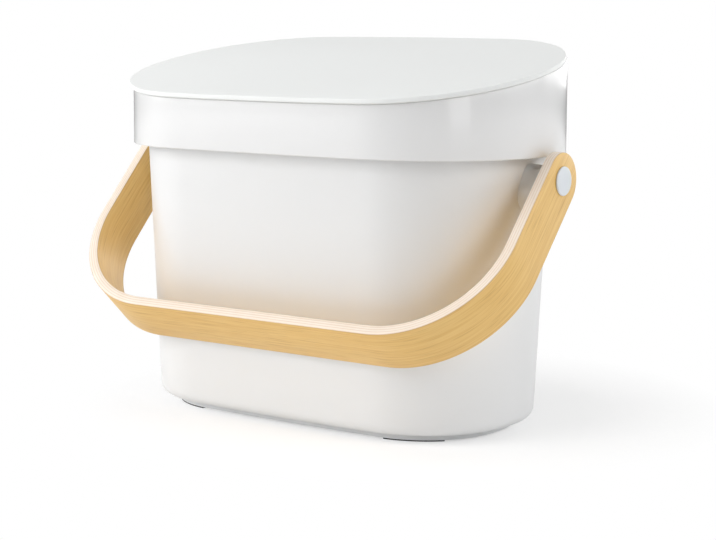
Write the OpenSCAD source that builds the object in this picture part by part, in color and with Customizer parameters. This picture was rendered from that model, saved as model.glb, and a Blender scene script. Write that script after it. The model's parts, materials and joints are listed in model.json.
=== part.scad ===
// Compost caddy with a hinged, sloping lid and a bentwood carrying handle.
// Millimetres. Z is up and -Y is the front. The origin is under the middle of the whole
// object, on the surface that it stands on.

/* [Collar] */
// Overall width of the collar
collar_w = 250; // [220:1:280]
// Overall depth of the collar
collar_d = 148.8; // [140:0.2:160]
// Bow of the collar's two ends
side_bow = 4.1; // [2:0.1:6]
// Bow of the collar's front and back
front_bow = 6.4; // [5:0.1:9]
// Half the depth less the radius of the corners
corner_flat = 4.9; // [4:0.1:12]
// How far the collar hangs below the bucket's rim
collar_hang = 14.4; // [10:0.1:18]
// Wall of the collar
collar_t = 2.4; // [1.8:0.1:2.8]
// Round along the outside of the lower edge
collar_round = 0.6; // [0.3:0.1:1.6]
// Chamfer along the outside of the top edge
collar_chamfer = 0.5; // [0.2:0.1:0.8]
// Thickness of the shelf that rests on the bucket's rim
shelf_t = 2.2; // [1.5:0.1:3]
// Step in from the collar's face to the lip that tucks the liner in
lip_in = 14; // [12.5:0.5:18]
// Depth of that lip below the top of the shelf
lip_h = 11; // [6:0.5:14]
// Thickness of the lip
lip_t = 2; // [1.5:0.1:3]
// Step in from the collar's face to the mouth under the lid
mouth_in = 10; // [9:0.1:12]
// Thickness of the sloping land round the mouth
land_t = 2; // [1.5:0.1:2.5]

/* [Lid] */
// Height of the lid's top face above the bucket's rim, at the middle of the collar
lid_rise = 30.3; // [28:0.1:42]
// Slope of the lid, down to the front, in degrees
lid_slope = 11.3; // [6:0.1:12]
// Thickness of the lid's plate
lid_t = 2.6; // [2.5:0.1:3.8]
// Round along the lid's top edge
lid_round = 0.5; // [0.4:0.1:1.6]
// Chamfer along the lid's lower edge
lid_chamfer = 0.4; // [0.2:0.1:0.8]
// Shadow gap between the lid's plate and the collar
lid_gap = 0.5; // [0.4:0.1:1.5]
// How far the lid stands out over each end of the collar
lid_side = 2; // [0.5:0.1:2.8]
// How far the lid stands out over the collar's front, as a finger lift
lid_front = 2.3; // [1:0.1:6]
// How far the lid's back edge lies in from the collar's back
lid_back = 4.2; // [3.6:0.1:5]
// Thickness of the locating rim under the lid
rim_t = 1.8; // [1.2:0.1:2.5]
// Depth of the locating rim below the land's top face
rim_h = 4; // [3:0.1:4.5]
// Clearance between the locating rim and the mouth
rim_clear = 0.5; // [0.4:0.1:1]
// How far the locating rim tapers in, so that it swings clear of the mouth
rim_taper = 1.4; // [1.2:0.1:2]
// Width of the soft seal under the lid
seal_w = 3.6; // [2:0.1:4.2]

/* [Hinge] */
// Radius of the hinge's barrels
barrel_r = 2.7; // [2.3:0.1:3]
// Radius of the hinge pin
pin_r = 1.1; // [0.8:0.1:1.3]
// Width of the hinge
hinge_w = 84; // [60:1:96]
// Width of each of the collar's three knuckles
knuckle_w = 12; // [8:1:16]
// Depth of the hinge's axis below the lid's top face
hinge_drop = 4.2; // [3.8:0.1:4.6]

/* [Bucket] */
// Height of the bucket's rim
bucket_h = 158.8; // [135:0.2:190]
// Wall and floor of the bucket
bucket_t = 2.4; // [1.8:0.1:3]
// Step in from the collar's face to the bucket, at the collar's lower edge
bucket_in = 8.2; // [7:0.1:9]
// Draft of the bucket's walls, in degrees
draft = 2.64; // [1.5:0.02:3.5]
// Round between the bucket's wall and its underside
base_round = 6.2; // [5:0.1:9]
// Thickness of the bucket's rim
rim_edge_t = 2.4; // [1.5:0.1:3]
// Gap all round between the bucket's rim and the inside of the collar
rim_gap = 0.6; // [0.4:0.1:1]
// Height of the ring that the bucket stands on
ring_h = 3.5; // [2:0.1:5]
// Width of that ring
ring_w = 5; // [4:0.5:8]
// Step in from the bucket's wall, at the top of the round, to the ring
ring_in = 10.9; // [9.5:0.1:13]

/* [Feet] */
// Thickness of the foot pads
foot_t = 0.7; // [0.5:0.1:2]
// Width of the foot pads
foot_w = 4.6; // [3:0.1:4.9]
// Step in from the ring's outer face to the foot pads
foot_in = 0.2; // [0.1:0.05:0.4]
// Where each foot pad starts round its corner, in degrees from the end of the caddy
foot_from = 42; // [20:1:60]
// Where each foot pad ends round its corner
foot_to = 84; // [65:1:87]

/* [Handle] */
// Width of the bent strip
strip_w = 28.9; // [24:0.1:32]
// Thickness of the bent strip
strip_t = 5.4; // [4:0.1:7]
// Gap between the collar's end and the inside of each arm
arm_gap = 4.6; // [4.5:0.1:8]
// Pivot axis to the outer face of the carrying run
handle_reach = 111.7; // [110:0.1:116]
// Outer radius of the two bends
bend_r = 60.7; // [50:0.1:66]
// How far the round end's centre lies past the pivot
end_past = 0; // [0:0.1:4]
// Pivot axis below the collar's lower edge
pivot_drop = 11.4; // [11.4:0.1:16]
// Gap left between the leaning strip and the bucket
lean_gap = 0.4; // [0.3:0.1:2]

/* [Pivots] */
// Radius of the screw's shoulder
shoulder_r = 4; // [3:0.1:4.5]
// Radius of the screw's thread
thread_r = 2.45; // [2:0.05:2.5]
// Length of the threaded insert
insert_l = 9; // [6:0.5:10]
// Wall of the threaded insert
insert_wall = 1.3; // [1:0.1:1.5]
// Length of the screw's end past the insert
screw_tip = 1; // [0.5:0.1:1.5]
// Wall of the bush
bush_wall = 1; // [0.8:0.1:1.5]
// Radius of the bush's flange
flange_r = 8; // [7:0.1:10]
// Thickness of the bush's flange
flange_t = 1.2; // [0.8:0.1:2]
// Radius of the cap over the screw's head
cap_r = 7.4; // [7:0.1:10]
// Height of that cap
cap_h = 1; // [0.9:0.1:2.5]
// Wall of the cap
cap_wall = 0.6; // [0.5:0.05:0.6]
// Round along the cap's edge
cap_round = 0.5; // [0.3:0.05:0.6]
// Thickness of the screw's head
head_t = 0.5; // [0.4:0.05:0.5]
// Width across the flats of the drive in the screw's head
drive_w = 4; // [3:0.5:5]
// Radius of the boss round the pivot axis, at the bucket
boss_top_r = 8; // [7:0.1:9]
// How far the middle of the boss's wide lower end lies below the pivot axis
boss_drop = 7; // [0:0.5:8]
// Radius of that lower end at the bucket
boss_root_r = 10.9; // [9:0.1:11.1]
// Radius of that lower end at the boss's free end
boss_end_r = 10.2; // [8.5:0.1:11]

/* [Clearances] */
// Gap between faces that pass or rest on each other
face_gap = 0.3; // [0.3:0.05:0.5]
// Radial clearance of the shafts in their bores
run_clear = 0.05; // [0.02:0.01:0.1]
// Clearance round the hinge's barrels
barrel_clear = 0.35; // [0.3:0.05:0.5]

/* [Hidden] */
$fa = 2;
$fs = 0.4;
left = -1;
right = 1;
front = -1;
rear = 1;
// How far a cut runs past the face that it opens
over = 1;
// Steps in a corner, along the front and across an end of every moulded outline
corner_steps = 20;
front_steps = 6;
end_steps = 2;
// Steps in a moulded round
round_steps = 6;
edge_steps = 3;

// Outlines in plan: [half width, half depth, end bow, front bow, corner radius]
half_w = collar_w / 2;
half_d = collar_d / 2;
corner_r = half_d - corner_flat;
collar_line = [half_w, half_d, side_bow, front_bow, corner_r];
lid_half_d = half_d + (lid_front - lid_back) / 2;
lid_shift = -(lid_front + lid_back) / 2;
lid_corner_r = corner_r + lid_side;
lid_line = [half_w + lid_side, lid_half_d, side_bow, front_bow, lid_corner_r];

// Heights, and depths under the lid's sloping top face
collar_z = bucket_h - collar_hang;
lid_top = bucket_h + lid_rise;
fall = tan(lid_slope);
collar_drop = lid_t + lid_gap;
land_drop = hinge_drop + barrel_r + barrel_clear + face_gap;
shelf_z = bucket_h + face_gap;
shelf_top = shelf_z + shelf_t;

// Hinge axis, behind the lid's back edge
hinge_y = half_d - lid_back + barrel_clear + barrel_r;
hinge_z = lid_top + fall * hinge_y - hinge_drop;
lid_knuckle_w = (hinge_w - 3 * knuckle_w) / 2 - 2 * barrel_clear;

// Bucket wall: its step in from the outline at a height, and the round under it
function wall_in(z) = bucket_in + (collar_z - z) * tan(draft);
base_z = foot_t + ring_h;
round_z = base_z + base_round;
tangent_z = round_z - base_round * sin(draft);
round_in = wall_in(tangent_z) + base_round * cos(draft);
ring_out = wall_in(tangent_z) + ring_in;

// Pivots and handle
pivot_z = collar_z - pivot_drop;
arm_in = half_w + arm_gap;
arm_out = arm_in + strip_t;
boss_from = half_w - wall_in(pivot_z - boss_drop / 2) - bucket_t / 2;
boss_to = arm_in - flange_t - face_gap;
boss_taper = boss_root_r - boss_end_r;
insert_r = thread_r + insert_wall + run_clear;
bush_r = shoulder_r + run_clear + bush_wall;
head_from = arm_out + face_gap;
bend_x = arm_out - bend_r;
bend_y = handle_reach - bend_r;

// Lean of the arms below level, with the strip's lower inside edge against the bucket
edge_reach = norm([handle_reach - strip_t, strip_w / 2]);
edge_angle = atan2(strip_w / 2, handle_reach - strip_t);
wall_distance = (half_d - wall_in(pivot_z) + lean_gap) * cos(draft);
lean = draft + acos(wall_distance / edge_reach) - edge_angle;

// The origin is under the middle of the whole object, from handle to hinge
front_reach = handle_reach * cos(lean) + strip_w / 2 * sin(lean);
centre_shift = (front_reach - hinge_y - barrel_r) / 2;

module placed() {
    translate([0, centre_shift, 0])
        children();
}

// An outline is eight arcs, each [centre, radius, from, to, steps].
function bow_radius(half, bow) = (half * half + bow * bow) / (2 * bow);
function end_radius(o) = bow_radius(o[1], o[2]);
function front_radius(o) = bow_radius(o[0], o[3]);
function end_centre(o) = [o[0] - end_radius(o), 0];
function front_centre(o) = [0, o[1] - front_radius(o)];
function bearing(from, to) = atan2(to[1] - from[1], to[0] - from[0]);
function angle_between(near, base, far) = acos((near * near + base * base - far * far) / (2 * near * base));
function end_angle(o) = bearing(end_centre(o), front_centre(o))
    + angle_between(end_radius(o) - o[4], norm(front_centre(o) - end_centre(o)), front_radius(o) - o[4]);
function corner_centre(o) = end_centre(o)
    + (end_radius(o) - o[4]) * [cos(end_angle(o)), sin(end_angle(o))];
function front_angle(o) = bearing(front_centre(o), corner_centre(o));
function flip(p) = [-p[0], p[1]];
function half_arcs(o) = [
    [end_centre(o), end_radius(o), -end_angle(o), end_angle(o), end_steps],
    [corner_centre(o), o[4], end_angle(o), front_angle(o), corner_steps],
    [front_centre(o), front_radius(o), front_angle(o), 180 - front_angle(o), front_steps],
    [flip(corner_centre(o)), o[4], 180 - front_angle(o), 180 - end_angle(o), corner_steps],
];
function all_arcs(o) = concat(
    half_arcs(o),
    [for (arc = half_arcs(o)) [-arc[0], arc[1], arc[2] + 180, arc[3] + 180, arc[4]]]
);
function arc_point(arc, i, inset) =
    arc[0] + (arc[1] - inset) * [cos(arc_turn(arc, i)), sin(arc_turn(arc, i))];
function arc_turn(arc, i) = arc[2] + (arc[3] - arc[2]) * i / arc[4];
function plan_points(o, inset) = [for (arc = all_arcs(o)) for (i = [0:arc[4] - 1]) arc_point(arc, i, inset)];

// A ring of points: level at height z, or at a depth under the lid's sloping top face
function level_ring(inset, z) = [for (p = plan_points(collar_line, inset)) [p[0], p[1], z]];
function sloped_ring(inset, depth, o = collar_line, shift = 0) =
    [for (p = plan_points(o, inset)) [p[0], p[1] + shift, lid_top + fall * (p[1] + shift) - depth]];

// Skins a list of rings: a solid between its two ends, or a closed frame if looped
module skin(rings, looped = false) {
    n = len(rings[0]);
    count = len(rings);
    spans = looped ? count : count - 1;
    walls = [
        for (j = [0:spans - 1]) for (i = [0:n - 1])
            let (k = (j + 1) % count, m = (i + 1) % n)
                each [[j * n + i, k * n + i, k * n + m], [j * n + i, k * n + m, j * n + m]]
    ];
    ends = [[for (i = [0:n - 1]) i], [for (i = [n - 1:-1:0]) (count - 1) * n + i]];
    polyhedron([for (ring = rings) each ring], looped ? walls : concat(walls, ends), convexity = 6);
}

// Shapes along the X axis, from one x to another
module bar_x(y, z, radius, from, to, end_radius = undef) {
    translate([from, y, z])
        rotate([0, 90, 0])
            cylinder(r1 = radius, r2 = is_undef(end_radius) ? radius : end_radius, h = to - from);
}

// Puts a right-hand pivot piece on either side; its own axis is z, outwards from the middle
module on_side(side, from) {
    placed()
        translate([side * from, 0, pivot_z])
            rotate([0, side * 90, 0])
                children();
}

// Rings of points along the round at the bottom of the bucket's wall
function base_arc(radius, from, to) = [
    for (i = [0:round_steps])
        let (a = from + (to - from) * i / round_steps)
            level_ring(round_in - radius * cos(a), round_z - radius * sin(a))
];

module bucket_shell() {
    outer_round = base_arc(base_round, 90, draft);
    inner_round = base_arc(base_round - bucket_t, draft, 90);
    edge_z = bucket_h - rim_edge_t;
    wall_across = bucket_t / cos(draft);
    skin(concat(
        [
            level_ring(ring_out + ring_w, base_z),
            level_ring(ring_out + ring_w, foot_t),
            level_ring(ring_out, foot_t),
            level_ring(ring_out, base_z),
        ],
        outer_round,
        [
            level_ring(wall_in(edge_z), edge_z),
            level_ring(collar_t + rim_gap, edge_z),
            level_ring(collar_t + rim_gap, bucket_h),
            level_ring(wall_in(bucket_h) + wall_across, bucket_h),
        ],
        inner_round
    ));
}

// The boss that an insert is pressed into, wider below the pivot
module boss() {
    hull() {
        bar_x(0, pivot_z, boss_top_r, boss_from, boss_to, boss_top_r - boss_taper);
        bar_x(0, pivot_z - boss_drop, boss_root_r, boss_from, boss_to, boss_end_r);
    }
}

module bucket() {
    color("white")
        placed()
            difference() {
                union() {
                    bucket_shell();
                    for (side = [left, right])
                        mirror([side == left ? 1 : 0, 0, 0])
                            boss();
                }
                for (side = [left, right])
                    mirror([side == left ? 1 : 0, 0, 0]) {
                        bar_x(0, pivot_z, insert_r, boss_to - insert_l, boss_to + over);
                        bar_x(0, pivot_z, thread_r + run_clear, boss_to - insert_l - screw_tip - face_gap, boss_to);
                    }
            }
}

module collar_frame() {
    lower_edge = [
        for (i = [0:edge_steps])
            let (a = 90 - 90 * i / edge_steps)
                level_ring(collar_round * (1 - cos(a)), collar_z + collar_round * (1 - sin(a)))
    ];
    skin(concat(
        [level_ring(collar_t, collar_z)],
        lower_edge,
        [
            sloped_ring(0, collar_drop + collar_chamfer),
            sloped_ring(collar_chamfer, collar_drop),
            sloped_ring(collar_t, collar_drop),
            sloped_ring(collar_t, land_drop),
            sloped_ring(mouth_in, land_drop),
            sloped_ring(mouth_in, land_drop + land_t),
            sloped_ring(collar_t, land_drop + land_t),
            level_ring(collar_t, shelf_top),
            level_ring(lip_in + lip_t, shelf_top),
            level_ring(lip_in + lip_t, shelf_top - lip_h),
            level_ring(lip_in, shelf_top - lip_h),
            level_ring(lip_in, shelf_z),
            level_ring(collar_t, shelf_z),
        ]
    ), looped = true);
}

// The middles of the lid's two knuckles, between the collar's three
function lid_knuckles() = [for (side = [left, right]) side * (hinge_w - knuckle_w) / 4];
function collar_knuckles() = [for (place = [-1:1]) place * (hinge_w - knuckle_w) / 2];

module collar() {
    color("whitesmoke")
        placed()
            difference() {
                union() {
                    collar_frame();
                    for (x = collar_knuckles())
                        bar_x(hinge_y, hinge_z, barrel_r, x - knuckle_w / 2, x + knuckle_w / 2);
                }
                for (x = lid_knuckles())
                    bar_x(hinge_y, hinge_z, barrel_r + barrel_clear,
                        x - lid_knuckle_w / 2 - barrel_clear, x + lid_knuckle_w / 2 + barrel_clear);
                bar_x(hinge_y, hinge_z, pin_r, -hinge_w / 2, hinge_w / 2);
            }
}

module lid_plate() {
    top_edge = [
        for (i = [0:edge_steps])
            let (a = 90 * i / edge_steps)
                sloped_ring(lid_round * (1 - cos(a)), lid_round * (1 - sin(a)), lid_line, lid_shift)
    ];
    rim_in = mouth_in + rim_clear;
    skin(concat(
        [
            sloped_ring(rim_in + rim_t + rim_taper, lid_t),
            sloped_ring(rim_in + rim_t + rim_taper, land_drop + rim_h),
            sloped_ring(rim_in + rim_taper, land_drop + rim_h),
            sloped_ring(rim_in, lid_t),
            sloped_ring(lid_chamfer, lid_t, lid_line, lid_shift),
            sloped_ring(0, lid_t - lid_chamfer, lid_line, lid_shift),
        ],
        top_edge
    ));
}

// The leaf that joins a knuckle to the lid's plate
module lid_leaf(x) {
    root_y = hinge_y - 2 * barrel_r - barrel_clear;
    root_z = lid_top + fall * root_y;
    translate([x - lid_knuckle_w / 2, 0, 0])
        rotate([90, 0, 90])
            linear_extrude(lid_knuckle_w)
                polygon([
                    [root_y, root_z - lid_t],
                    [hinge_y - barrel_r, hinge_z],
                    [hinge_y, hinge_z],
                    [hinge_y, hinge_z + barrel_r],
                    [root_y, root_z - lid_round],
                ]);
}

module lid() {
    color("white")
        placed()
            difference() {
                union() {
                    lid_plate();
                    for (x = lid_knuckles()) {
                        lid_leaf(x);
                        bar_x(hinge_y, hinge_z, barrel_r, x - lid_knuckle_w / 2, x + lid_knuckle_w / 2);
                    }
                }
                bar_x(hinge_y, hinge_z, pin_r + run_clear, -hinge_w / 2, hinge_w / 2);
            }
}

// A soft strip under the lid, outside the locating rim, that meets the land
module lid_seal() {
    inner = mouth_in - face_gap;
    color("gainsboro")
        placed()
            skin([
                sloped_ring(inner, land_drop - face_gap),
                sloped_ring(inner - seal_w, land_drop - face_gap),
                sloped_ring(inner - seal_w, lid_t),
                sloped_ring(inner, lid_t),
            ], looped = true);
}

module hinge_pin() {
    color("silver")
        placed()
            bar_x(hinge_y, hinge_z, pin_r, -hinge_w / 2, hinge_w / 2);
}

// One arm in the strip's own plane, with its round end past the pivot
module arm() {
    translate([arm_in, 0, 0])
        rotate([90, 0, 90])
            linear_extrude(strip_t) {
                translate([-end_past, 0])
                    circle(strip_w / 2);
                translate([-end_past, -strip_w / 2])
                    square([bend_y + end_past, strip_w]);
            }
}

module bend() {
    translate([bend_x, bend_y, -strip_w / 2])
        rotate_extrude(angle = 90)
            translate([bend_r - strip_t, 0])
                square([strip_t, strip_w]);
}

module handle() {
    color("burlywood")
        placed()
            translate([0, 0, pivot_z])
                rotate([180 + lean, 0, 0])
                    difference() {
                        union() {
                            for (turn = [0, 1])
                                mirror([turn, 0, 0]) {
                                    arm();
                                    bend();
                                }
                            translate([-bend_x, handle_reach - strip_t, -strip_w / 2])
                                cube([2 * bend_x, strip_t, strip_w]);
                        }
                        for (turn = [0, 1])
                            mirror([turn, 0, 0])
                                bar_x(0, 0, bush_r, arm_in - over, arm_out + over);
                    }
}

module bush(side) {
    color("ivory")
        on_side(side, arm_in - flange_t)
            difference() {
                union() {
                    cylinder(r = flange_r, h = flange_t);
                    cylinder(r = bush_r, h = flange_t + strip_t);
                }
                translate([0, 0, -over])
                    cylinder(r = shoulder_r + run_clear, h = flange_t + strip_t + 2 * over);
            }
}

module insert(side) {
    color("goldenrod")
        on_side(side, boss_to - insert_l)
            difference() {
                cylinder(r = insert_r, h = insert_l);
                translate([0, 0, -over])
                    cylinder(r = thread_r + run_clear, h = insert_l + 2 * over);
            }
}

// Shouldered screw: thread in the insert, smooth shoulder in the bush, flat head outside
module screw(side) {
    thread_l = insert_l + screw_tip;
    shoulder_l = head_from - boss_to;
    color("silver")
        on_side(side, boss_to - thread_l)
            difference() {
                union() {
                    cylinder(r = thread_r, h = thread_l + shoulder_l);
                    translate([0, 0, thread_l])
                        cylinder(r = shoulder_r, h = shoulder_l);
                    translate([0, 0, thread_l + shoulder_l])
                        cylinder(r = cap_r - cap_wall, h = head_t);
                }
                translate([0, 0, thread_l + shoulder_l - over])
                    cylinder(r = drive_w / sqrt(3), h = head_t + 2 * over, $fn = 6);
            }
}

// Cap that snaps over the screw's head
module cap(side) {
    color("whitesmoke")
        on_side(side, head_from)
            rotate_extrude()
                difference() {
                    union() {
                        square([cap_r, cap_h - cap_round]);
                        square([cap_r - cap_round, cap_h]);
                        translate([cap_r - cap_round, cap_h - cap_round])
                            circle(cap_round);
                    }
                    translate([-over, -over])
                        square([cap_r - cap_wall + over, head_t + over]);
                    translate([-2 * over, -over])
                        square([2 * over, cap_h + 2 * over]);
                }
}

// Soft pad along the ring, round one corner
module foot(side, end) {
    c = corner_centre(collar_line);
    outer_r = corner_r - ring_out - foot_in;
    color("dimgray")
        placed()
            mirror([side == left ? 1 : 0, 0, 0])
                mirror([0, end == front ? 1 : 0, 0])
                    translate([c[0], c[1], 0])
                        rotate(foot_from)
                            rotate_extrude(angle = foot_to - foot_from)
                                translate([outer_r - foot_w, 0])
                                    square([foot_w, foot_t]);
}

bucket();
collar();
lid();
lid_seal();
hinge_pin();
handle();
bush(left);  // bush_left
bush(right);  // bush_right
insert(left);  // insert_left
insert(right);  // insert_right
screw(left);  // screw_left
screw(right);  // screw_right
cap(left);  // cap_left
cap(right);  // cap_right
foot(left, front);  // foot_front_left
foot(right, front);  // foot_front_right
foot(left, rear);  // foot_rear_left
foot(right, rear);  // foot_rear_right
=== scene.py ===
"""Looks of the compost caddy with a hinged lid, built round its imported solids.

Blender works in metres. Lengths are written in millimetres, as 28.9 * MM.
"""

import json
import math

import bmesh
import bpy
from mathutils import Matrix, Vector


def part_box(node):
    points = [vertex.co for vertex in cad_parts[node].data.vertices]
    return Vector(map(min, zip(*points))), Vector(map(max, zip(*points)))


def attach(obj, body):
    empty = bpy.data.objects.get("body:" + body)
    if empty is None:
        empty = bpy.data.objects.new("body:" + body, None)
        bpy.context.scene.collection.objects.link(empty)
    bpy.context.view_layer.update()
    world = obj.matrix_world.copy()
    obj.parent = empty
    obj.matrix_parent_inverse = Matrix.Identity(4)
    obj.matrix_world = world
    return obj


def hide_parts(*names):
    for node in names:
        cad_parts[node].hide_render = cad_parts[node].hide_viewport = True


MM = 0.001

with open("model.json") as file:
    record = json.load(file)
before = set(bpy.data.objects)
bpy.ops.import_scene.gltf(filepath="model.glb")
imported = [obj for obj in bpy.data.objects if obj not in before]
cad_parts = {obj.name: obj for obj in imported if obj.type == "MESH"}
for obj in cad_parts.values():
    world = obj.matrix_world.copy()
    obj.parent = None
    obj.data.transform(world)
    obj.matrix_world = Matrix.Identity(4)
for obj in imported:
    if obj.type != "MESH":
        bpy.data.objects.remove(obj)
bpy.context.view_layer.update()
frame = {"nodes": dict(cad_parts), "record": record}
joints = {joint["name"]: joint for joint in frame["record"]["behaviour"]["joints"]}

# The handle's strip, with the part's own sizes. Its width alone is 0.02 mm less, so that
# rounding can't put the turned strip outside the CAD's box.
STRIP_W = 28.88 * MM
STRIP_T = 5.4 * MM
REACH = 111.7 * MM
BEND_R = 60.7 * MM
STRIP_EDGE_R = 0.45 * MM
BORE_R = 5.05 * MM
PLIES = 4

# What the frame says about the handle
PIVOT = Vector(joints["handle_swing"]["pos_m"])
LEAN = math.radians(joints["handle_swing"]["range_deg"][1] / 2 - 90)
ARM_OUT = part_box("handle")[1][0]

# The caps over the screws
CAP_DOME = 0.16 * MM
CAP_EDGE_R = 0.6 * MM
CAP_WALL = 0.6 * MM
CAP_SKIN = 0.5 * MM

# How finely curves are drawn
RUN_STEPS = 150
END_STEPS = 20
EASING_STEPS = 3
BORE_SIDES = 64
CAP_SEGMENTS = 72
DOME_STEPS = 8
CAP_EDGE_STEPS = 5
SMOOTH_BELOW = math.radians(38)
WELD = 0.001 * MM

# The photograph's camera, fitted to its outlines
PHOTO_WIDTH = 716
PHOTO_HEIGHT = 540
FOCAL_PX = 1768.1
CENTRE_PX = (342.97, 226.15)
CAMERA_AZIMUTH = math.radians(35.76)
CAMERA_ELEVATION = math.radians(6.48)
CAMERA_ROLL = math.radians(0.33)
CAMERA_DISTANCE = 964.24 * MM
CAMERA_TARGET = Vector((0, PIVOT.y, 100.8 * MM))
SENSOR_WIDTH = 36
CLIP_START = 50 * MM

# Moulded plastic: sizes of its clouding, smears and mould waves, and how strong they are
CLOUD_SCALE = 9
CLOUD_SHADE = 0.985
SMEAR_SCALE = 45
SMEAR = 0.01
WAVE_SCALE = 14
COAT_ROUGHNESS = 0.08

# Bent ply: its colours, one of them painted shade for the strip's eased corners, and (along,
# across) scales of the patterns that follow the strip
BAND_DARK = (0.775, 0.465, 0.135)
BAND_LIGHT = (0.835, 0.535, 0.175)
FIBRE_LIGHT = (0.895, 0.61, 0.225)
FLECK_DARK = (0.56, 0.295, 0.07)
# Painted shade: the darker brown laid along the eased corners where the faces turn into the edges
CORNER_SHADE_PAINTED = (0.55, 0.31, 0.09)
EDGE_DARK = (0.915, 0.765, 0.615)
EDGE_LIGHT = (0.97, 0.88, 0.765)
PLY_LINE = (0.76, 0.55, 0.40)
BAND_SCALE = (6, 210, 1)
FIBRE_SCALE = (22, 950, 1)
FLECK_SCALE = (45, 1500, 1)
EDGE_SCALE = (60, 60, 1)

# The floor as the camera sees it: how much of the lamps' light it returns, what is added so
# that the lit floor is white, and where round the caddy's shadow it turns to plain white
FLOOR_SIZE = 12
FLOOR_SEEN = 0.6
FLOOR_LIFT = 0.49
FADE_CENTRE = Vector((20 * MM, 40 * MM, 0))
FADE_RADII = (100 * MM, 180 * MM)

# Lamps: name, azimuth and elevation in degrees, distance, width and height in metres, radiance
LAMPS = (
    ("key", -54, 22, 1.8, 1.5, 1.5, 2.7),
    ("front", -30, 22, 1.8, 1.2, 1.2, 2.22),
    ("top", 0, 85, 1.3, 1.1, 0.9, 1.95),
    ("strip_right", 62, 10, 1.0, 0.3, 0.54, 1.8),
    ("right", 90, 30, 1.6, 0.8, 0.8, 3.25),
    ("side_right", 122, 15, 1.5, 0.8, 0.7, 1.6),
    ("back", 168, 14, 1.6, 1.3, 0.8, 1.8),
)


def direction(azimuth, elevation):
    """Unit vector in radians; azimuth 0 is in front and a quarter turn is on the right."""
    return Vector((math.sin(azimuth) * math.cos(elevation),
                   -math.cos(azimuth) * math.cos(elevation),
                   math.sin(elevation)))


# Node helpers

def new_material(name):
    """A node material and its Principled shader."""
    material = bpy.data.materials.new(name)
    material.use_nodes = True
    shader = material.node_tree.nodes["Principled BSDF"]
    return material, shader


def node(material, kind, **values):
    """A node with its properties, and inputs by name where a key starts with a capital."""
    made = material.node_tree.nodes.new(kind)
    for key, value in values.items():
        if key[0].isupper():
            made.inputs[key.replace("_", " ")].default_value = value
        else:
            setattr(made, key, value)
    return made


def link(material, source, target):
    material.node_tree.links.new(source, target)


def math_node(material, operation, first, second=0.0):
    """A math node's result; each operand is a socket or a number."""
    made = node(material, "ShaderNodeMath", operation=operation)
    for slot, value in zip(made.inputs, (first, second)):
        if isinstance(value, (int, float)):
            slot.default_value = value
        else:
            link(material, value, slot)
    return made.outputs[0]


def spread(material, value, low, high, from_low=0.0, from_high=1.0):
    """value taken from one range to another, held at its ends."""
    made = node(material, "ShaderNodeMapRange", clamp=True)
    link(material, value, made.inputs["Value"])
    made.inputs["From Min"].default_value = from_low
    made.inputs["From Max"].default_value = from_high
    made.inputs["To Min"].default_value = low
    made.inputs["To Max"].default_value = high
    return made.outputs["Result"]


def noise(material, vector, scale, detail=2.0, roughness=0.5):
    """Noise from 0 to 1, most of it near the middle."""
    made = node(material, "ShaderNodeTexNoise", Scale=scale, Detail=detail, Roughness=roughness)
    link(material, vector, made.inputs["Vector"])
    return made.outputs["Fac"]


def stretched(material, vector, factors, offset=(0, 0, 0)):
    """vector times factors, plus offset."""
    made = node(material, "ShaderNodeMapping")
    made.inputs["Scale"].default_value = factors
    made.inputs["Location"].default_value = offset
    link(material, vector, made.inputs["Vector"])
    return made.outputs["Vector"]


def blend_colours(material, factor, first, second):
    """Colour between first and second; each is a socket or an RGB triple."""
    made = node(material, "ShaderNodeMix", data_type="RGBA")
    link(material, factor, made.inputs["Factor"])
    for slot, value in ((made.inputs[6], first), (made.inputs[7], second)):
        if isinstance(value, tuple):
            slot.default_value = (*value, 1)
        else:
            link(material, value, slot)
    return made.outputs[2]


def mixed(material, factor, first, second):
    """A mix of two shader nodes, from first at 0 to second at 1."""
    made = node(material, "ShaderNodeMixShader")
    link(material, factor, made.inputs[0])
    link(material, first.outputs[0], made.inputs[1])
    link(material, second.outputs[0], made.inputs[2])
    return made


def bump(material, height, distance, normal=None, strength=1.0):
    """A normal that follows height, on top of another bump's normal if one is given."""
    made = node(material, "ShaderNodeBump", Strength=strength, Distance=distance)
    link(material, height, made.inputs["Height"])
    if normal is not None:
        link(material, normal, made.inputs["Normal"])
    return made.outputs["Normal"]


def place(material):
    """Where a point is on its piece, in metres."""
    return node(material, "ShaderNodeTexCoord").outputs["Object"]


# Materials

def plastic(name, colour, roughness, grain, grain_depth, wave_depth, coat=0.0):
    """Moulded plastic: fine spark-eroded grain, slow waves from the mould, and faint clouding."""
    material, shader = new_material(name)
    where = place(material)
    clouds = noise(material, where, CLOUD_SCALE, 3)
    darker = tuple(c * CLOUD_SHADE for c in colour)
    link(material, blend_colours(material, clouds, darker, colour), shader.inputs["Base Color"])
    smears = noise(material, where, SMEAR_SCALE, 4, 0.6)
    link(material, spread(material, smears, roughness - SMEAR, roughness + SMEAR, 0.3, 0.7),
         shader.inputs["Roughness"])
    waves = bump(material, noise(material, where, WAVE_SCALE, 1), wave_depth)
    fine = bump(material, noise(material, where, grain, 2), grain_depth, waves)
    link(material, fine, shader.inputs["Normal"])
    shader.inputs["Coat Weight"].default_value = coat
    shader.inputs["Coat Roughness"].default_value = COAT_ROUGHNESS
    return material


def rubber(name, colour, roughness):
    """Matte rubber with a dusty, pitted skin."""
    material, shader = new_material(name)
    where = place(material)
    dust = noise(material, where, 160, 5, 0.65)
    lighter = tuple(min(1, c * 1.25 + 0.01) for c in colour)
    link(material, blend_colours(material, dust, colour, lighter), shader.inputs["Base Color"])
    link(material, spread(material, dust, roughness - 0.08, roughness + 0.06),
         shader.inputs["Roughness"])
    pits = bump(material, noise(material, where, 2200, 3), 0.03 * MM)
    link(material, pits, shader.inputs["Normal"])
    return material


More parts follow.
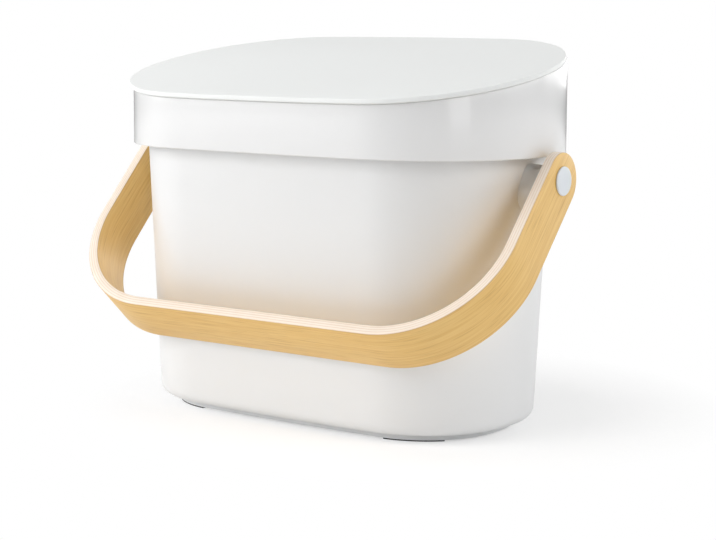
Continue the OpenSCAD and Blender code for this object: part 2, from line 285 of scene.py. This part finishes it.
def metal(name, colour, roughness, rings):
    """Turned metal: fine tool marks round the X axis of the pivots and the hinge."""
    material, shader = new_material(name)
    where = place(material)
    marks = noise(material, stretched(material, where, (rings, rings * 0.04, rings * 0.04)), 1, 3)
    darker = tuple(c * 0.86 for c in colour)
    link(material, blend_colours(material, marks, darker, colour), shader.inputs["Base Color"])
    link(material, spread(material, marks, roughness - 0.07, roughness + 0.07),
         shader.inputs["Roughness"])
    link(material, bump(material, marks, 0.01 * MM), shader.inputs["Normal"])
    shader.inputs["Metallic"].default_value = 1
    return material


def bentwood(name):
    """Bent ply: straight grain along the strip on its faces, pale plies on its edges, and painted
    shade along the eased corners between them.
    """
    material, shader = new_material(name)
    along = node(material, "ShaderNodeUVMap", uv_map="strip").outputs["UV"]
    ply = node(material, "ShaderNodeUVMap", uv_map="ply").outputs["UV"]
    split = node(material, "ShaderNodeSeparateXYZ")
    link(material, ply, split.inputs[0])
    depth, edge = split.outputs["X"], split.outputs["Y"]

    bands = noise(material, stretched(material, along, BAND_SCALE), 1, 3, 0.55)
    fibres = noise(material, stretched(material, along, FIBRE_SCALE, (3, 7, 0)), 1, 3, 0.5)
    flecks = noise(material, stretched(material, along, FLECK_SCALE, (11, 2, 0)), 1, 2, 0.5)
    face = blend_colours(material, spread(material, bands, 0, 1, 0.32, 0.68),
                         BAND_DARK, BAND_LIGHT)
    face = blend_colours(material, spread(material, fibres, 0, 0.75, 0.38, 0.62),
                         face, FIBRE_LIGHT)
    face = blend_colours(material, spread(material, flecks, 0, 0.55, 0.56, 0.7),
                         face, FLECK_DARK)
    # Painted shade: the face darkens towards the eased corners, standing in for shade along the
    # strip's edges
    face = blend_colours(material, spread(material, edge, 0, 0.8, 0.02, 0.3),
                         face, CORNER_SHADE_PAINTED)

    turns = math_node(material, "MULTIPLY", depth, 2 * math.pi * PLIES / STRIP_T)
    lines = spread(material, math_node(material, "SINE", turns), 0, 1, 0.2, 0.9)
    edge_grain = noise(material, stretched(material, along, EDGE_SCALE), 1, 3, 0.6)
    edge_face = blend_colours(material, edge_grain, EDGE_DARK, EDGE_LIGHT)
    edge_face = blend_colours(material, math_node(material, "MULTIPLY", lines, 0.62),
                              edge_face, PLY_LINE)
    is_edge = spread(material, edge, 0, 1, 0.35, 0.6)
    link(material, blend_colours(material, is_edge, face, edge_face), shader.inputs["Base Color"])

    link(material, spread(material, fibres, 0.36, 0.5, 0.3, 0.7), shader.inputs["Roughness"])
    pores = bump(material, fibres, 0.05 * MM)
    link(material, bump(material, lines, 0.03 * MM, pores, 0.5), shader.inputs["Normal"])
    shader.inputs["Coat Weight"].default_value = 0.12
    shader.inputs["Coat Roughness"].default_value = 0.3
    return material


# How each material is made: plastic takes colour, roughness, the scale and depth of its grain,
# the depth of its waves and its coat; rubber colour and roughness; metal those and its rings
RECIPES = {
    "bucket_plastic": (plastic, (0.868, 0.874, 0.877), 0.3, 1900, 0.004 * MM, 0.04 * MM),
    "collar_plastic": (plastic, (0.872, 0.875, 0.877), 0.18, 1200, 0.002 * MM, 0.12 * MM, 0.45),
    "lid_plastic": (plastic, (0.883, 0.898, 0.888), 0.5, 2100, 0.03 * MM, 0.05 * MM),
    "seal_rubber": (rubber, (0.56, 0.56, 0.56), 0.62),
    "steel": (metal, (0.64, 0.64, 0.65), 0.3, 2400),
    "bentwood": (bentwood,),
    "nylon": (plastic, (0.80, 0.79, 0.74), 0.45, 1500, 0.01 * MM, 0.02 * MM),
    "brass": (metal, (0.78, 0.57, 0.28), 0.28, 2000),
    "cap_plastic": (plastic, (0.79, 0.83, 0.87), 0.3, 1800, 0.008 * MM, 0.02 * MM),
    "foot_rubber": (rubber, (0.035, 0.035, 0.037), 0.7),
}
MATERIALS = {name: make(name, *values) for name, (make, *values) in RECIPES.items()}
SLOT_OF = {part["node"]: part["material_slot"] for part in frame["record"]["subparts"]}


def wear(obj, slot):
    """Gives obj the one material of a slot."""
    obj.data.materials.clear()
    obj.data.materials.append(MATERIALS[slot])


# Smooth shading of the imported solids

def smoothing_group(angle):
    """Geometry nodes that weld a solid's facets and shade them smooth below an angle."""
    group = bpy.data.node_groups.new("smooth_by_angle", "GeometryNodeTree")
    group.interface.new_socket("Geometry", in_out="INPUT", socket_type="NodeSocketGeometry")
    group.interface.new_socket("Geometry", in_out="OUTPUT", socket_type="NodeSocketGeometry")
    new = group.nodes.new
    start, end = new("NodeGroupInput"), new("NodeGroupOutput")
    weld = new("GeometryNodeMergeByDistance")
    weld.inputs["Distance"].default_value = WELD
    clear = new("GeometryNodeRemoveAttribute")
    clear.inputs["Name"].default_value = "custom_normal"
    faces = new("GeometryNodeSetShadeSmooth")
    edges = new("GeometryNodeSetShadeSmooth")
    edges.domain = "EDGE"
    edges.inputs["Shade Smooth"].default_value = False
    turn = new("GeometryNodeInputMeshEdgeAngle")
    sharp = new("FunctionNodeCompare")
    sharp.operation = "GREATER_THAN"
    sharp.inputs[1].default_value = angle
    links = group.links
    links.new(start.outputs[0], weld.inputs["Geometry"])
    links.new(weld.outputs[0], clear.inputs["Geometry"])
    links.new(clear.outputs[0], faces.inputs["Geometry"])
    links.new(faces.outputs[0], edges.inputs["Geometry"])
    links.new(turn.outputs["Unsigned Angle"], sharp.inputs[0])
    links.new(sharp.outputs[0], edges.inputs["Selection"])
    links.new(edges.outputs[0], end.inputs[0])
    return group


SMOOTHING = smoothing_group(SMOOTH_BELOW)

for name, solid in frame["nodes"].items():
    wear(solid, SLOT_OF[name])
    solid.modifiers.new("smooth", "NODES").node_group = SMOOTHING


# The handle: a flat strip with round ends and eased edges, then bent

BEND_X = ARM_OUT - BEND_R
BEND_Y = REACH - BEND_R
BEND_LENGTH = BEND_R * math.pi / 2
END_RUN = BEND_X + BEND_LENGTH + BEND_Y


def bent(run, across, depth):
    """A point of the flat strip, run metres from its middle, in the bent strip's own frame."""
    side = math.copysign(1, run)
    run = abs(run)
    if run < BEND_X:
        x, reach = run, REACH - depth
    elif run < BEND_X + BEND_LENGTH:
        turn = (run - BEND_X) / BEND_R
        x = BEND_X + (BEND_R - depth) * math.sin(turn)
        reach = BEND_Y + (BEND_R - depth) * math.cos(turn)
    else:
        x, reach = ARM_OUT - depth, BEND_Y - (run - BEND_X - BEND_LENGTH)
    return Vector((side * x, reach, across))


def strip_outline(inset):
    """The flat strip's outline as (run, across) points: along one side, round an end, and back."""
    half = STRIP_W / 2 - inset
    half_loop = [(-END_RUN + 2 * END_RUN * i / RUN_STEPS, half) for i in range(RUN_STEPS)]
    for i in range(END_STEPS):
        turn = math.pi / 2 - math.pi * i / END_STEPS
        half_loop.append((END_RUN + half * math.cos(turn), half * math.sin(turn)))
    return half_loop + [(-run, -across) for run, across in half_loop]


def strip_rings():
    """(inset, depth, edge) of every ring of points, from the outer face to the inner one."""
    eased = []
    for i in range(EASING_STEPS + 1):
        edge = i / EASING_STEPS
        turn = math.pi / 2 * edge
        inset = STRIP_EDGE_R * (1 - math.sin(turn))
        depth = STRIP_EDGE_R * (1 - math.cos(turn))
        eased.append((inset, depth, edge))
    return eased + [(inset, STRIP_T - depth, edge) for inset, depth, edge in reversed(eased)]


def make_handle():
    """The bent strip in its own frame, with its flat places and its depth kept as UV maps."""
    mesh = bpy.data.meshes.new("bent_strip")
    work = bmesh.new()
    strip_map = work.loops.layers.uv.new("strip")
    ply_map = work.loops.layers.uv.new("ply")
    flat = {}
    rings = []
    for inset, depth, edge in strip_rings():
        ring = []
        for run, across in strip_outline(inset):
            vertex = work.verts.new(bent(run, across, depth))
            flat[vertex] = ((run, across), (depth, edge))
            ring.append(vertex)
        rings.append(ring)
    count = len(rings[0])
    for ring, after in zip(rings, rings[1:]):
        for i in range(count):
            work.faces.new((ring[i], ring[(i + 1) % count], after[(i + 1) % count], after[i]))
    tip = END_STEPS // 2
    rungs = [(i % count, (count - END_STEPS - i) % count)
             for i in range(-tip, RUN_STEPS + tip + 1)]
    for ring in (rings[0], rings[-1]):
        for (a, b), (c, d) in zip(rungs, rungs[1:]):
            work.faces.new(dict.fromkeys((ring[a], ring[c], ring[d], ring[b])))
    for face in work.faces:
        face.smooth = True
        for loop in face.loops:
            loop[strip_map].uv, loop[ply_map].uv = flat[loop.vert]
    bmesh.ops.recalc_face_normals(work, faces=work.faces)
    work.to_mesh(mesh)
    work.free()
    handle = bpy.data.objects.new("bent_handle", mesh)
    bpy.context.scene.collection.objects.link(handle)
    return handle


def bore_through(obj, radius, length):
    """Cuts a round hole along X through obj at its own origin."""
    bpy.ops.mesh.primitive_cylinder_add(vertices=BORE_SIDES, radius=radius, depth=length,
                                        rotation=(0, math.pi / 2, 0))
    cutter = bpy.context.object
    cut = obj.modifiers.new("bore", "BOOLEAN")
    cut.operation = "DIFFERENCE"
    cut.object = cutter
    cut.solver = "EXACT"
    bpy.context.view_layer.update()
    evaluated = obj.evaluated_get(bpy.context.evaluated_depsgraph_get())
    obj.data = bpy.data.meshes.new_from_object(evaluated)
    obj.modifiers.clear()
    bpy.data.objects.remove(cutter)


handle = make_handle()
bore_through(handle, BORE_R, 3 * ARM_OUT)
handle.matrix_world = Matrix.Translation(PIVOT) @ Matrix.Rotation(math.pi + LEAN, 4, "X")
wear(handle, "bentwood")
handle.modifiers.new("smooth", "NODES").node_group = SMOOTHING
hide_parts("handle")
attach(handle, "handle")


# The caps: low domes over the screws

def lathe(name, profile):
    """A solid turned from a profile of (radius, height) points that starts and ends at radius 0."""
    work = bmesh.new()
    turns = [2 * math.pi * i / CAP_SEGMENTS for i in range(CAP_SEGMENTS)]
    rings = []
    for radius, height in profile:
        if radius == 0:
            rings.append([work.verts.new((0, 0, height))] * CAP_SEGMENTS)
            continue
        rings.append([work.verts.new((radius * math.cos(turn), radius * math.sin(turn), height))
                      for turn in turns])
    for ring, after in zip(rings, rings[1:]):
        for i in range(CAP_SEGMENTS):
            j = (i + 1) % CAP_SEGMENTS
            corners = list(dict.fromkeys((ring[i], ring[j], after[j], after[i])))
            work.faces.new(corners).smooth = True
    bmesh.ops.recalc_face_normals(work, faces=work.faces)
    mesh = bpy.data.meshes.new(name)
    work.to_mesh(mesh)
    work.free()
    made = bpy.data.objects.new(name, mesh)
    bpy.context.scene.collection.objects.link(made)
    return made


def cap_profile(radius, height):
    """A hollow cap's section: a low dome, a rounded edge, the side and the inside."""
    flat_r = radius - CAP_EDGE_R
    dome = [(flat_r * i / DOME_STEPS, height - CAP_DOME * (i / DOME_STEPS) ** 2)
            for i in range(DOME_STEPS)]
    edge_top = height - CAP_DOME
    edge = []
    for i in range(CAP_EDGE_STEPS + 1):
        turn = math.pi / 2 * i / CAP_EDGE_STEPS
        edge.append((flat_r + CAP_EDGE_R * math.sin(turn),
                     edge_top - CAP_EDGE_R * (1 - math.cos(turn))))
    inside = [(radius, 0), (radius - CAP_WALL, 0), (radius - CAP_WALL, CAP_SKIN), (0, CAP_SKIN)]
    return dome + edge + inside


for side, turn in (("left", -math.pi / 2), ("right", math.pi / 2)):
    low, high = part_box(f"cap_{side}")
    radius = (high[1] - low[1]) / 2
    inner_x = high[0] if side == "left" else low[0]
    cap = lathe(f"screw_cap_{side}", cap_profile(radius, high[0] - low[0]))
    cap.matrix_world = (Matrix.Translation((inner_x, PIVOT.y, PIVOT.z))
                        @ Matrix.Rotation(turn, 4, "Y"))
    wear(cap, "cap_plastic")
    cap.modifiers.new("smooth", "NODES").node_group = SMOOTHING
    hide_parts(f"cap_{side}")
    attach(cap, "bucket")


# Floor, world and lamps

def make_floor():
    """A pale floor that shows white to the camera but keeps the object's shadow."""
    material, shader = new_material("floor")
    where = place(material)
    pale = blend_colours(material, noise(material, where, 3),
                         (0.96, 0.96, 0.96), (0.98, 0.98, 0.98))
    link(material, pale, shader.inputs["Base Color"])
    shader.inputs["Roughness"].default_value = 0.6
    shader.inputs["Specular IOR Level"].default_value = 0.2

    soft = node(material, "ShaderNodeBsdfDiffuse", Color=(FLOOR_SEEN, FLOOR_SEEN, FLOOR_SEEN, 1))
    lift = node(material, "ShaderNodeEmission", Strength=FLOOR_LIFT)
    near = node(material, "ShaderNodeAddShader")
    link(material, soft.outputs[0], near.inputs[0])
    link(material, lift.outputs[0], near.inputs[1])
    away = node(material, "ShaderNodeVectorMath", operation="LENGTH")
    link(material, stretched(material, where, (1, 1, 1), -FADE_CENTRE), away.inputs[0])
    fade = spread(material, away.outputs["Value"], 0, 1, *FADE_RADII)
    white = node(material, "ShaderNodeEmission")
    seen = mixed(material, fade, near, white)

    camera_ray = node(material, "ShaderNodeLightPath").outputs["Is Camera Ray"]
    either = mixed(material, camera_ray, shader, seen)
    output = material.node_tree.nodes["Material Output"]
    link(material, either.outputs[0], output.inputs["Surface"])

    bpy.ops.mesh.primitive_plane_add(size=FLOOR_SIZE)
    floor = bpy.context.object
    floor.name = "floor"
    floor.data.materials.append(material)


def make_world():
    """White to the camera and in reflections, and dark to all else, which the lamps light."""
    world = bpy.data.worlds.new("studio")
    world.use_nodes = True
    bpy.context.scene.world = world
    nodes, links = world.node_tree.nodes, world.node_tree.links
    path = nodes.new("ShaderNodeLightPath")
    shown = path.outputs["Is Camera Ray"]
    for kind in ("Is Transmission Ray", "Is Glossy Ray"):
        either = nodes.new("ShaderNodeMath")
        either.operation = "MAXIMUM"
        links.new(shown, either.inputs[0])
        links.new(path.outputs[kind], either.inputs[1])
        shown = either.outputs[0]
    background = nodes["Background"]
    background.inputs["Color"].default_value = (1, 1, 1, 1)
    links.new(shown, background.inputs["Strength"])


def softbox(name, azimuth, elevation, distance, width, height, radiance):
    """A rectangular lamp that faces the caddy."""
    lamp = bpy.data.lights.new(name, "AREA")
    lamp.shape = "RECTANGLE"
    lamp.size = width
    lamp.size_y = height
    lamp.energy = radiance * math.pi * width * height
    made = bpy.data.objects.new(name, lamp)
    bpy.context.scene.collection.objects.link(made)
    away = direction(math.radians(azimuth), math.radians(elevation))
    made.location = CAMERA_TARGET + away * distance
    made.rotation_euler = away.to_track_quat("Z", "Y").to_euler()


make_floor()
make_world()
for lamp_values in LAMPS:
    softbox(*lamp_values)


# Camera

def make_camera():
    """The photograph's camera, with its small shift and roll."""
    camera = bpy.data.cameras.new("photo_camera")
    camera.sensor_width = SENSOR_WIDTH
    camera.lens = FOCAL_PX * SENSOR_WIDTH / PHOTO_WIDTH
    camera.shift_x = (PHOTO_WIDTH / 2 - CENTRE_PX[0]) / PHOTO_WIDTH
    camera.shift_y = (CENTRE_PX[1] - PHOTO_HEIGHT / 2) / PHOTO_WIDTH
    camera.clip_start = CLIP_START
    back = direction(CAMERA_AZIMUTH, CAMERA_ELEVATION)
    right = Vector((0, 0, 1)).cross(back).normalized()
    up = back.cross(right)
    level = Matrix((right, up, back)).transposed().to_4x4()
    turn = level @ Matrix.Rotation(CAMERA_ROLL, 4, "Z")
    made = bpy.data.objects.new("photo_camera", camera)
    bpy.context.scene.collection.objects.link(made)
    made.matrix_world = Matrix.Translation(CAMERA_TARGET + back * CAMERA_DISTANCE) @ turn
    bpy.context.scene.camera = made


make_camera()
bpy.context.scene.view_settings.view_transform = "Standard"
